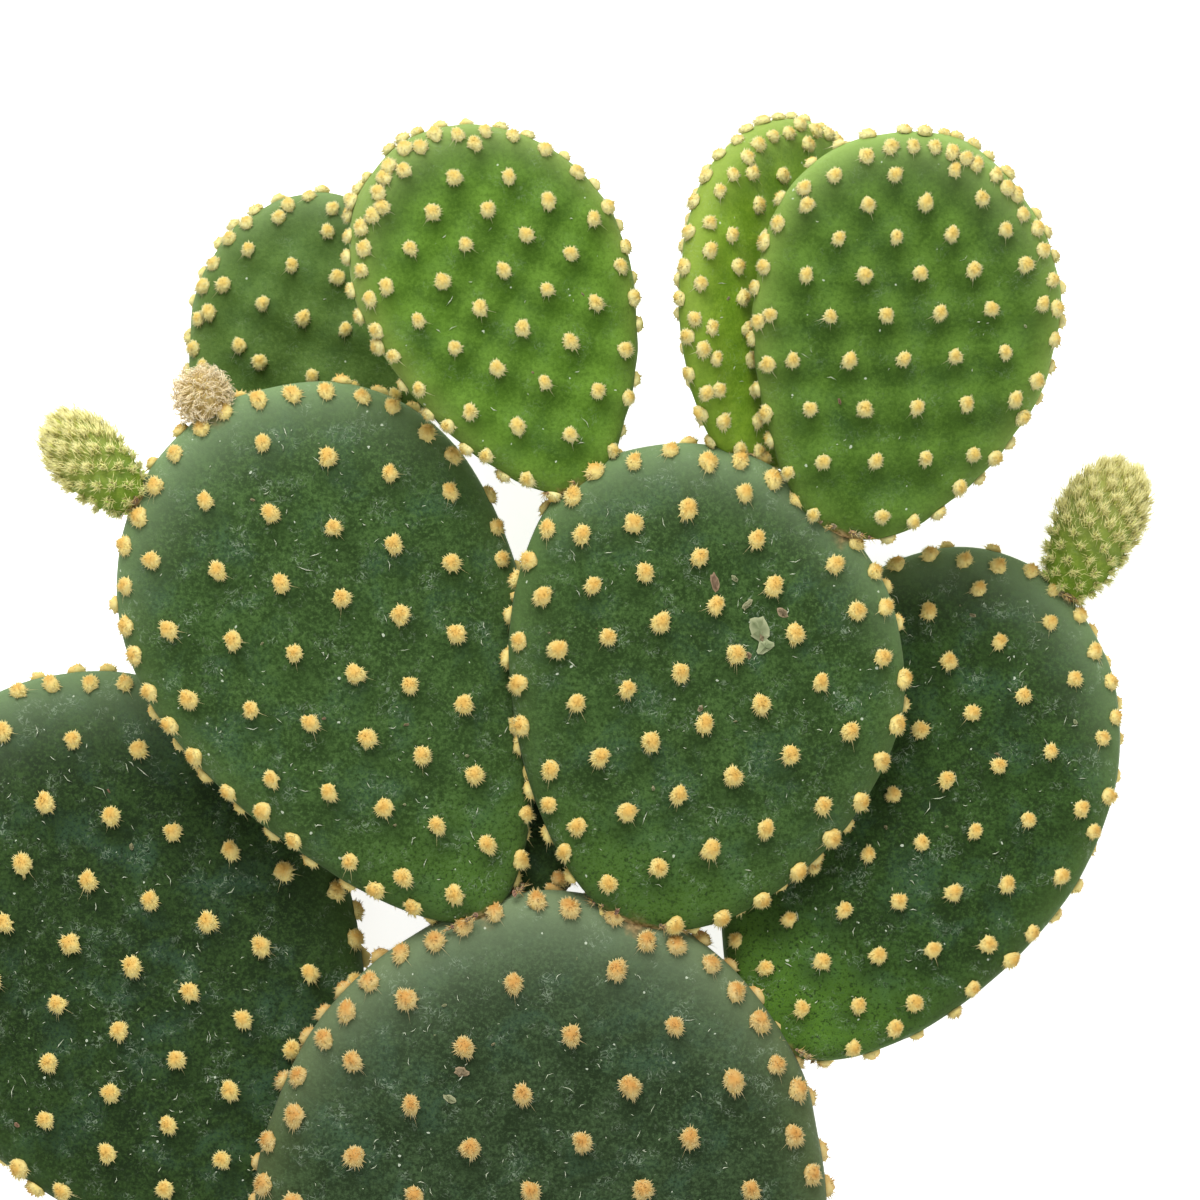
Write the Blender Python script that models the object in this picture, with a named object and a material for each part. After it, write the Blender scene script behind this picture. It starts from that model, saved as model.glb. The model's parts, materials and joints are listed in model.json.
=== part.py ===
"""Bunny-ears prickly pear cutting: ten flat pads and three buds that grew out of each other.

It lies on its back as cut. +Z is up, off the surface that it lies on. +Y runs from the cut end to the
youngest pads. Each pad is shaped flat in its own frame, with its neck at the origin, its tip along +Y and
its front face up, and is then leaned, pitched and turned into place on its parent's rim.
"""

from dataclasses import dataclass
from math import acos, atan2, copysign, cos, radians, sin, sqrt

import bmesh
import bpy
from mathutils import Matrix, Vector

MM = 0.001
SEAT_GAP = 0.3 * MM  # left between a pad and the rim that it grew from
ROUND = 36  # points round a pad's outline
RINGS = 12  # rings from the middle of the front face, over the rim, to the middle of the back
BUD_ROUND = 20
BUD_RINGS = 10
POINTED = 1.08  # over 1 draws in both ends of every outline a little
CORE = 0.55  # how far along a pad the middle of its faces is
FLAT_FACE = 2.6  # section of a pad: 2 is a plain oval, more gives flatter faces and a rounder rim
PLUMP = 2.1  # section of a bud
CUT_OFF = 2.5 * MM  # taken off the base pad's neck by the knife
KNIFE_BLOCK = 60 * MM


@dataclass(frozen=True)
class Pad:
    """Lengths in millimetres, angles in degrees."""

    name: str
    length: float
    width: float
    thick: float
    egg: float  # how much broader the tip half is than the neck half
    sway: float  # sideways drift of the tip, in lengths
    lean: float  # in the plane of the surface, anticlockwise
    pitch: float  # tip away from the surface
    turn: float  # left rim away from the surface
    skin: str
    parent: str = ""
    rim: float = 0.0  # place on the parent's outline: 0 its neck, 180 its tip, negative on its left
    forward: float = 0.0  # offset towards the parent's front face
    sunk: float = 0.0  # how far the neck reaches in from the parent's outline
    curl: float = 0.0  # how far the tip bends to the front
    cup: float = 0.0  # how far the side rims bend to the front
    section: float = FLAT_FACE
    bud: bool = False


OLD = "old_pad_skin"
YOUNG = "young_pad_skin"
NEW = "new_growth"
WOOL = "bud_wool"

SKINS = {
    OLD: ((0.055, 0.115, 0.052), 0.62),
    YOUNG: ((0.085, 0.205, 0.030), 0.55),
    NEW: ((0.320, 0.420, 0.130), 0.70),
    WOOL: ((0.480, 0.330, 0.150), 0.90),
}

BASE_NECK = (-7.7, -184.2, 3.35)  # before the whole cutting is centred

PADS = [
    Pad("base_pad", 132, 103.5, 15, 0.09, 0.04, 4, 8.1, 0, OLD, curl=-1.5, cup=-0.5),
    Pad("left_low_pad", 109, 86.5, 13, 0.13, 0.0, 29, -2.9, 0, OLD,
        parent="base_pad", rim=-97, forward=-3.6, sunk=2.5, curl=1.5, cup=1.0),
    Pad("rear_pad", 86, 50, 9, 0.20, 0.0, 32, -10.8, 0, OLD,
        parent="base_pad", rim=177, forward=-3.8, sunk=3.0, curl=2.0, cup=0.5),
    Pad("right_pad", 100, 65.5, 12, 0.18, -0.04, -31, -6.8, -3, OLD,
        parent="base_pad", rim=122, forward=-2.0, sunk=2.0, curl=1.5, cup=1.0),
    Pad("mid_left_pad", 103.5, 70, 12, 0.36, 0.02, 28, 5, 3, OLD,
        parent="base_pad", rim=-169, forward=1.5, sunk=2.0, curl=-2.5, cup=-1.0),
    Pad("mid_centre_pad", 86, 72.5, 12, 0.21, -0.12, -19, 3.5, 8, OLD,
        parent="base_pad", rim=159, forward=2.8, sunk=2.0, curl=1.5, cup=1.0),
    Pad("rear_left_pad", 61, 43.5, 8, 0.16, -0.01, -8, 0, 0, YOUNG,
        parent="rear_pad", rim=190, forward=1.2, sunk=1.2, curl=2.0, cup=0.5),
    Pad("top_left_pad", 67, 47, 8, 0.29, -0.03, 21, 0, 12, YOUNG,
        parent="mid_centre_pad", rim=-132, forward=1.0, sunk=1.2, curl=3.0, cup=1.0),
    Pad("top_right_rear_pad", 62, 52, 8, 0.15, 0.0, -14, -8, 45, YOUNG,
        parent="mid_centre_pad", rim=177, forward=-2.0, sunk=1.2, curl=-2.0, cup=0.5),
    Pad("top_right_pad", 71.5, 54, 8, 0.24, -0.09, -18, 8, 8, YOUNG,
        parent="mid_centre_pad", rim=148, forward=3.0, sunk=1.2, curl=3.0, cup=1.0),
    Pad("left_bud", 21, 11, 7.5, 0.10, 0.06, 50, 8, 0, NEW,
        parent="mid_left_pad", rim=-148, forward=1.0, sunk=1.0, section=PLUMP, bud=True),
    Pad("right_bud", 27, 13.5, 8.5, 0.15, 0.05, -22, 12, 0, NEW,
        parent="right_pad", rim=167, forward=1.0, sunk=1.0, section=PLUMP, bud=True),
    Pad("brown_bud", 10, 10, 9.5, 0.0, 0.0, 30, 0, 0, WOOL,
        parent="mid_left_pad", rim=-176, forward=1.5, sunk=1.5, section=PLUMP, bud=True),
]
BY_NAME = {pad.name: pad for pad in PADS}


# ---------------------------------------------------------------- the form of a pad


def outline(pad, angle):
    """The point of the flat outline at an angle of 0 at the neck to pi at the tip."""
    widest = (1 - sqrt(1 + 8 * pad.egg**2)) / (4 * pad.egg) if pad.egg else 0.0
    fullest = sqrt(1 - widest**2) * (1 - pad.egg * widest)
    along = (1 - cos(angle)) / 2
    across = copysign(abs(sin(angle)) ** POINTED, sin(angle)) * (1 - pad.egg * cos(angle)) / fullest
    return Vector((pad.width / 2 * across + pad.sway * pad.length * along**2, pad.length * along)) * MM


def bent(pad, x, y, z):
    """A flat point of the pad, with its tip and side rims bent to the front."""
    along = y / (pad.length * MM)
    across = (x - pad.sway * pad.length * MM * along**2) / (pad.width / 2 * MM)
    return Vector((x, y, z + (pad.curl * along**2 + pad.cup * across**2) * MM))


def middle(pad):
    """The middle of the pad's faces."""
    return Vector((pad.sway * pad.length * CORE**2, pad.length * CORE)) * MM


def on_pad(pad, angle, polar):
    """The skin point at an outline angle, and polar from 0 mid front, pi/2 on the rim, to pi mid back."""
    power = 2 / pad.section
    flat = middle(pad).lerp(outline(pad, angle), abs(sin(polar)) ** power)
    height = copysign(abs(cos(polar)) ** power, cos(polar)) * pad.thick / 2 * MM
    return bent(pad, flat.x, flat.y, height)


def grow(name, pad, swell=0.0):
    """A mesh object of the pad's form, swollen all over by swell."""
    bm = bmesh.new()
    around, rings = (BUD_ROUND, BUD_RINGS) if pad.bud else (ROUND, RINGS)
    bmesh.ops.create_uvsphere(bm, u_segments=around, v_segments=rings, radius=1)
    for vert in bm.verts:
        x, y, z = vert.co
        vert.co = on_pad(pad, atan2(x, -y), acos(max(-1.0, min(1.0, z))))
    bmesh.ops.recalc_face_normals(bm, faces=bm.faces)
    bm.normal_update()
    for vert in bm.verts:
        vert.co += vert.normal * swell
    for face in bm.faces:
        face.smooth = True
    mesh = bpy.data.meshes.new(name)
    bm.to_mesh(mesh)
    bm.free()
    return bpy.data.objects.new(name, mesh)


# ---------------------------------------------------------------- where a pad grows


def facing(pad):
    """The rotation that leans, pitches and turns a pad."""
    steps = ((pad.lean, "Z"), (pad.pitch, "X"), (pad.turn, "Y"))
    rotation = Matrix.Identity(3)
    for degrees, axis in steps:
        rotation = rotation @ Matrix.Rotation(radians(degrees), 3, axis)
    return rotation


def neck_of(pad):
    """Where the pad's own origin lies: on its parent's rim, or at the base pad's place."""
    if not pad.parent:
        return Vector(BASE_NECK) * MM
    parent = BY_NAME[pad.parent]
    rim = outline(parent, radians(pad.rim))
    inward = (middle(parent) - rim).normalized() * pad.sunk * MM
    spot = bent(parent, rim.x + inward.x, rim.y + inward.y, pad.forward * MM)
    return neck_of(parent) + facing(parent) @ spot


def place(thing, pad, cutting):
    thing.parent = cutting
    thing.location = neck_of(pad)
    thing.rotation_euler = facing(pad).to_euler()


# ---------------------------------------------------------------- finish and assembly


def skin_material(name):
    colour, roughness = SKINS[name]
    material = bpy.data.materials.get(name) or bpy.data.materials.new(name)
    material.use_nodes = True
    skin = material.node_tree.nodes["Principled BSDF"]
    skin.inputs["Base Color"].default_value = (*colour, 1)
    skin.inputs["Roughness"].default_value = roughness
    skin.inputs["Metallic"].default_value = 0.0
    return material


def hide_cutter(cutter, cutters):
    cutters.objects.link(cutter)
    cutter.hide_render = True
    cutter.display_type = "WIRE"


def cut_away(thing, cutter, name):
    """Takes the cutter's form out of the thing."""
    cut = thing.modifiers.new(name, "BOOLEAN")
    cut.operation = "DIFFERENCE"
    cut.object = cutter


def knife(cutting, cutters):
    """A block whose face is the flat cut across the base pad's neck."""
    bm = bmesh.new()
    bmesh.ops.create_cube(bm, size=KNIFE_BLOCK)
    bmesh.ops.translate(bm, verts=bm.verts, vec=(0, CUT_OFF - KNIFE_BLOCK / 2, 0))
    mesh = bpy.data.meshes.new("knife")
    bm.to_mesh(mesh)
    bm.free()
    block = bpy.data.objects.new("knife", mesh)
    place(block, BY_NAME["base_pad"], cutting)
    hide_cutter(block, cutters)
    return block


def centre_on_floor(cutting, things):
    """Moves the cutting so that its box stands centred on the origin, with its lowest point at z 0."""
    bpy.context.view_layer.update()
    graph = bpy.context.evaluated_depsgraph_get()
    corners = []
    for thing in things:
        cut = thing.evaluated_get(graph)
        corners += [cut.matrix_world @ vert.co for vert in cut.data.vertices]
    low = Vector([min(corner[i] for corner in corners) for i in range(3)])
    high = Vector([max(corner[i] for corner in corners) for i in range(3)])
    cutting.location -= Vector(((low.x + high.x) / 2, (low.y + high.y) / 2, low.z))


def main():
    for thing in list(bpy.data.objects):
        bpy.data.objects.remove(thing)
    scene = bpy.context.scene.collection
    plant = bpy.data.collections.new("prickly_pear_cutting")
    cutters = bpy.data.collections.new("cutters")
    scene.children.link(plant)
    scene.children.link(cutters)
    cutting = bpy.data.objects.new("cutting", None)
    plant.objects.link(cutting)

    pads = {}
    seats = {}
    for pad in PADS:
        thing = grow(pad.name, pad)
        thing.data.materials.append(skin_material(pad.skin))
        plant.objects.link(thing)
        place(thing, pad, cutting)
        pads[pad.name] = thing
    for parent in sorted({pad.parent for pad in PADS if pad.parent}):
        seats[parent] = grow(parent + "_seat", BY_NAME[parent], SEAT_GAP)
        place(seats[parent], BY_NAME[parent], cutting)
        hide_cutter(seats[parent], cutters)
    for pad in PADS:
        if pad.parent:
            cut_away(pads[pad.name], seats[pad.parent], "seat on " + pad.parent)
    cut_away(pads["base_pad"], knife(cutting, cutters), "knife cut")
    centre_on_floor(cutting, pads.values())


main()
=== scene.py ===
import json
from dataclasses import dataclass
from math import cos, pi, radians, sin, sqrt

import bpy
import numpy as np
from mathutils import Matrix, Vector

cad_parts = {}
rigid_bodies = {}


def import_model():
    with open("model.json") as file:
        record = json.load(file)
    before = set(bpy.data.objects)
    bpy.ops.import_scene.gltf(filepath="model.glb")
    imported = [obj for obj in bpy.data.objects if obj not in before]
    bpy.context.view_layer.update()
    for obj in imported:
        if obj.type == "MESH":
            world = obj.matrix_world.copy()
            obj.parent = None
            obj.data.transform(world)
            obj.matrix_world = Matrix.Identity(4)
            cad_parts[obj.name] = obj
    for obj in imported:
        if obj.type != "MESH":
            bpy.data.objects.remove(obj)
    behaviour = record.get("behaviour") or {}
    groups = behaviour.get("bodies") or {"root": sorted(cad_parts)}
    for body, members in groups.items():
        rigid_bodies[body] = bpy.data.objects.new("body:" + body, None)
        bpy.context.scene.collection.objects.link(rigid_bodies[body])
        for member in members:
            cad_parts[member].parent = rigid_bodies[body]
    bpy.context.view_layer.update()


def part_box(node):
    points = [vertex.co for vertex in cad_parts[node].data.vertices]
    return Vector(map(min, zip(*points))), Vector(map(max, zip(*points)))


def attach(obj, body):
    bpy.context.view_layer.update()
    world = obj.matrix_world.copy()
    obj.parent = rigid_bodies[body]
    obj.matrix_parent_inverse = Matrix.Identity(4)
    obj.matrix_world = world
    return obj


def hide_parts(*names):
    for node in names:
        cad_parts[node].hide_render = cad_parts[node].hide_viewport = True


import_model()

# A cutting of bunny-ears prickly pear, lying on its back on a pale table.
#
# Skins, tufts of glochids, buds, corky scars and hairs are all made here. Object coordinates of every
# piece are the frame's own, in metres.

MM = 0.001
RNG_SEED = 20


# ================================================================ camera and light

LOOK_AT = (17.6, 49.0)  # mm, the point under the camera
CAMERA_HEIGHT = 925 * MM
LENS = 150  # mm, on the usual 36 mm sensor

# Each softbox: its name, its place, the spot it is aimed at and its size, all in metres, and its watts.
SOFTBOXES = (
    ("key_softbox", (-0.2, 1.05, 0.95), (0.0, 0.03, 0.0), (0.9, 0.65), 24),
    ("fill_softbox", (0.5, -0.9, 1.1), (0.0, 0.0, 0.0), (1.2, 1.0), 6.5),
)
WHITE_ROOM = 0.66  # strength of the even light from all round


def make_camera():
    camera = bpy.data.objects.new("camera", bpy.data.cameras.new("camera"))
    camera.data.lens = LENS
    camera.location = (LOOK_AT[0] * MM, LOOK_AT[1] * MM, CAMERA_HEIGHT)
    bpy.context.scene.collection.objects.link(camera)
    bpy.context.scene.camera = camera


def softbox(name, place, aim, size, watts):
    """A lamp with a rectangular diffuser, aimed at a spot."""
    lamp = bpy.data.lights.new(name, "AREA")
    lamp.shape = "RECTANGLE"
    lamp.size, lamp.size_y = size
    lamp.energy = watts
    stand = bpy.data.objects.new(name, lamp)
    stand.location = place
    stand.rotation_euler = (Vector(aim) - Vector(place)).to_track_quat("-Z", "Y").to_euler()
    bpy.context.scene.collection.objects.link(stand)


def make_light():
    for lamp in SOFTBOXES:
        softbox(*lamp)
    world = bpy.data.worlds.new("studio")
    world.use_nodes = True
    background = world.node_tree.nodes["Background"]
    background.inputs["Color"].default_value = srgb("#FFFFFF")
    background.inputs["Strength"].default_value = WHITE_ROOM
    bpy.context.scene.world = world
    bpy.context.scene.view_settings.view_transform = "Standard"


# ================================================================ materials


def srgb(code):
    """A linear colour from an sRGB hex code."""
    parts = [int(code[i : i + 2], 16) / 255 for i in (1, 3, 5)]
    return (*[p / 12.92 if p <= 0.04045 else ((p + 0.055) / 1.055) ** 2.4 for p in parts], 1)


def add(tree, kind, inputs=None, **settings):
    """Adds a node with its settings, and sets or links its inputs."""
    node = tree.nodes.new(kind)
    for name, value in settings.items():
        setattr(node, name, value)
    for key, value in (inputs or {}).items():
        if isinstance(value, bpy.types.NodeSocket):
            tree.links.new(value, node.inputs[key])
        else:
            node.inputs[key].default_value = value
    return node


def new_material(name, roughness, ior):
    """A material with its node tree and shader."""
    material = bpy.data.materials.new(name)
    material.use_nodes = True
    tree = material.node_tree
    shader = tree.nodes["Principled BSDF"]
    shader.inputs["Roughness"].default_value = roughness
    shader.inputs["IOR"].default_value = ior
    return material, tree, shader


def every(size):
    """The scale of a pattern that repeats about every size millimetres."""
    return 1 / (size * MM)


# Living plant skin: a waxy cuticle over water-filled cells, IOR about 1.42, never metallic. This kind is
# velvety, since its skin carries a fine down. The down scatters what the wax would reflect, so the eye sees
# a matt, chalky green with a weak sheen and no clear highlight.
SKIN_IOR = 1.42
SKIN_ROUGHNESS = 0.74
SKIN_ROUGHNESS_RANGE = (0.66, 0.82)  # from patch to patch
SKIN_SPECULAR = 0.16  # weak, for the down
SKIN_SHEEN = 0.025
SKIN_SHEEN_ROUGHNESS = 0.4
FRESH_GREEN = "#567F22"  # young tissue, at a pad's neck
BLOOM = "#889C7C"  # grey-green wax that is thickest at a pad's tip
WAX_BLUE = "#34503E"  # the same wax, thin, in patches
STRAND = "#A3B39A"  # down that has come loose
SPECK = "#C9D2BC"  # dried juice and dust
CORK_DARK = "#6B4E2C"
CORK_PALE = "#B59C6C"

# The noises in a skin: about how many millimetres apart, detail, roughness, and how much they twist.
SKIN_NOISES = {
    "clouds": (12, 3, 0.5, 0),  # broad light and shade in the green
    "patches": (3.0, 4, 0.65, 0),  # mottling and soft unevenness
    "nap": (0.7, 3, 0.75, 0),  # the velvet, some three times as coarse as life, so that it shows
    "strands": (1.3, 2, 0.6, 0.8),  # loose down
    "fade": (4.5, 3, 0.6, 0),  # where the down lies
    "grain": (0.9, 5, 0.5, 0),  # flecks in cork
    "wax": (9, 4, 0.6, 0.5),  # bluish patches of wax
}
STRAND_EDGE = 0.03  # of the strands' noise: a third of a millimetre wide, so that they show
STRANDS_LIE = (0.53, 0.66)  # of the fade's noise: none below, all above
SPECK_GRID = 2.6  # mm, with a speck in some of the cells
SPECK_NOTCH = 0.8  # mm from one notch in a speck's edge to the next
SPECK_SHAKE = 0.6 * MM  # how far they move it
SPECKLESS = 0.6  # share of the cells without a speck
SPECK_REACH = 0.11  # radius of the largest, in cells


def pad_skin(name, deep, mid, pale, haze, coarse, painted_light_strength):
    """Velvety prickly pear skin, grown: mottled green, with down, specks and cork, painted sheen along the
    rim, and painted shade below each tuft with painted light round it. coarse is how strong the nap is, and
    painted_light_strength how pale the painted light makes the skin round each tuft."""
    material, tree, shader = new_material(name, SKIN_ROUGHNESS, SKIN_IOR)
    shader.inputs["Specular IOR Level"].default_value = SKIN_SPECULAR
    shader.inputs["Sheen Weight"].default_value = SKIN_SHEEN
    shader.inputs["Sheen Roughness"].default_value = SKIN_SHEEN_ROUGHNESS
    where = add(tree, "ShaderNodeTexCoord").outputs["Object"]
    clouds, patches, nap, strands, fade, grain, wax = [
        add(tree, "ShaderNodeTexNoise", {"Vector": where, "Scale": every(size), "Detail": detail,
                                         "Roughness": rough, "Distortion": twist}).outputs["Fac"]
        for size, detail, rough, twist in SKIN_NOISES.values()
    ]
    # Down: the ridges of a noise are short curved lines.
    ridge = add(tree, "ShaderNodeMath", {0: strands, 1: 0.5}, operation="SUBTRACT").outputs[0]
    ridge = add(tree, "ShaderNodeMath", {0: ridge}, operation="ABSOLUTE").outputs[0]
    line = add(tree, "ShaderNodeMapRange", {0: ridge, 1: 0.0, 2: STRAND_EDGE, 3: 1.0, 4: 0.0}).outputs[0]
    none, full = STRANDS_LIE
    fade = add(tree, "ShaderNodeMapRange", {0: fade, 1: none, 2: full, 4: 1.0}).outputs[0]
    down = add(tree, "ShaderNodeMath", {0: line, 1: fade}, operation="MULTIPLY").outputs[0]
    # Specks: ragged pale dots, up to half a millimetre across.
    ragged = add(tree, "ShaderNodeTexNoise", {"Vector": where, "Scale": every(SPECK_NOTCH)}).outputs["Color"]
    shaken = add(tree, "ShaderNodeMix", {0: SPECK_SHAKE, 4: where, 5: ragged}, data_type="VECTOR").outputs[1]
    cells = add(tree, "ShaderNodeTexVoronoi", {"Vector": shaken, "Scale": every(SPECK_GRID)})
    lone = add(tree, "ShaderNodeSeparateColor", {0: cells.outputs["Color"]}).outputs[0]
    size = add(tree, "ShaderNodeMapRange", {0: lone, 1: SPECKLESS, 2: 1.0, 3: 0.0, 4: SPECK_REACH}).outputs[0]
    apart = cells.outputs["Distance"]
    speck = add(tree, "ShaderNodeMath", {0: apart, 1: size}, operation="LESS_THAN").outputs[0]
    rim, bloom, under, crest, cork, fresh = [
        add(tree, "ShaderNodeAttribute", attribute_name=mark).outputs["Fac"]
        for mark in ("rim", "bloom", "under_tuft", "crest", "cork", "fresh")
    ]
    # Layers of colour, each over the last: what it follows, from which value to which, how much, which tone.
    colour = srgb(deep)
    for amount, low, high, most, tone in (
        (clouds, 0.36, 0.66, 1.0, mid),
        (patches, 0.45, 0.75, 0.6 * coarse, pale),
        (patches, 0.5, 0.25, 0.5 * coarse, deep),
        (wax, 0.5, 0.68, 0.5 * coarse, WAX_BLUE),
        # Painted light: paler skin round each tuft, where the top of its tubercle would catch the light.
        (crest, 0, 1, painted_light_strength, pale),
        (fresh, 0, 1, 0.7, FRESH_GREEN),
        (nap, 0.5, 0.66, 0.9 * coarse, pale),
        (nap, 0.5, 0.34, 0.95 * coarse, deep),
        # Painted shade: darker skin just below each tuft, where its tubercle would shade the skin.
        (under, 0, 1, 0.7, deep),
        (bloom, 0, 1, 0.64 * coarse, BLOOM),
        # Painted sheen: paler along a pad's rim, most on its upper half, which faces the light. On a bud the
        # same tone is its own paler tip.
        (rim, 0, 1, 0.6, haze),
        (down, 0, 1, 0.4 * coarse, STRAND),
        (speck, 0, 1, 0.6, SPECK),
        (cork, 0, 1, 1.0, CORK_DARK),
    ):
        share = add(tree, "ShaderNodeMapRange", {0: amount, 1: low, 2: high, 4: most}).outputs[0]
        colour = add(tree, "ShaderNodeMix", {0: share, 6: colour, 7: srgb(tone)}, data_type="RGBA").outputs[2]
    flecks = add(tree, "ShaderNodeMapRange", {0: grain, 1: 0.4, 2: 0.65}).outputs[0]
    flecks = add(tree, "ShaderNodeMath", {0: flecks, 1: cork}, operation="MULTIPLY").outputs[0]
    colour = add(tree, "ShaderNodeMix", {0: flecks, 6: colour, 7: srgb(CORK_PALE)}, data_type="RGBA")
    tree.links.new(colour.outputs[2], shader.inputs["Base Color"])
    # Relief: skin cells and down under a millimetre, soft unevenness at 3 mm.
    relief = add(tree, "ShaderNodeBump", {"Strength": 0.6, "Distance": 0.14 * MM, "Height": nap})
    relief = add(tree, "ShaderNodeBump", {"Strength": 0.6, "Distance": 0.5 * MM, "Height": patches,
                                          "Normal": relief.outputs[0]})
    tree.links.new(relief.outputs[0], shader.inputs["Normal"])
    low, high = SKIN_ROUGHNESS_RANGE
    rough = add(tree, "ShaderNodeMapRange", {0: patches, 3: low, 4: high})
    tree.links.new(rough.outputs[0], shader.inputs["Roughness"])
    return material


# Glochids: barbed hairs of dry cellulose, IOR about 1.53. A tuft is a brush of their ends, so it looks matt
# and soft, and takes its colour from how deep the eye sees into it. Dry scales and the little leaves of
# buds are coloured the same way.
DRY_HAIR_IOR = 1.53
DRY_HAIR_ROUGHNESS = 0.72
DRY_HAIR_SPECULAR = 0.3
HAIR_MAP = "OFBake"  # the map that hair colours are read through; the one map that the export keeps


def glochid_hair(name, eye_root, eye_tip, fringe_root, fringe_tip):
    """Dry hair in four tones. A piece's map holds, across, the way from a hair's root to its tip and, up, the
    way from the eye of its tuft to the fringe."""
    material, tree, shader = new_material(name, DRY_HAIR_ROUGHNESS, DRY_HAIR_IOR)
    shader.inputs["Specular IOR Level"].default_value = DRY_HAIR_SPECULAR
    place = add(tree, "ShaderNodeUVMap", uv_map=HAIR_MAP).outputs[0]
    split = add(tree, "ShaderNodeSeparateXYZ", {0: place})
    across, up = split.outputs[0], split.outputs[1]
    eye, fringe = [
        add(tree, "ShaderNodeMix", {0: across, 6: srgb(root), 7: srgb(tip)}, data_type="RGBA").outputs[2]
        for root, tip in ((eye_root, eye_tip), (fringe_root, fringe_tip))
    ]
    colour = add(tree, "ShaderNodeMix", {0: up, 6: eye, 7: fringe}, data_type="RGBA")
    tree.links.new(colour.outputs[2], shader.inputs["Base Color"])
    return material


# ================================================================ the form of a pad

POINTED = 1.08  # over 1 draws in both ends of every outline a little
CORE = 0.55  # how far along a pad the middle of its faces is
FLAT_FACE = 2.6  # section of a pad: 2 is a plain oval, more gives flatter faces and a rounder rim
PLUMP = 2.1  # section of a bud
CUT_OFF = 2.5  # mm taken off the base pad's neck by the knife
SOLID_ROUND = 36  # points round the outline of a pad's CAD solid
SOLID_RINGS = 12  # rings from the middle of its front to the middle of its back
BUD_ROUND = 20
BUD_RINGS = 10
THIN = 10  # mm: a pad thinner than this has finer skin, and tufts that may crowd along its rim


@dataclass(frozen=True)
class Pad:
    """Lengths in millimetres, angles in degrees."""

    name: str
    length: float
    width: float
    thick: float
    egg: float  # how much broader the tip half is than the neck half
    sway: float  # sideways drift of the tip, in lengths
    lean: float  # in the plane of the table, anticlockwise
    pitch: float  # tip away from the table
    turn: float  # left rim away from the table
    curl: float  # how far the tip bends to the front
    cup: float  # how far the side rims bend to the front
    skin: str
    hair: str
    parent: str = ""
    tuft: float = 2.0  # half the width of a tuft
    rows: tuple = ()  # of tufts on the front: first place, step along a row, step between rows, and bends
    rim_step: float = 9.0
    crowd: tuple = (0.0, 0.15)  # where rim tufts crowd, as a share of the outline from the tip, and how much
    section: float = FLAT_FACE
    bud: bool = False

    @property
    def thin(self):
        return self.thick < THIN


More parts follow.
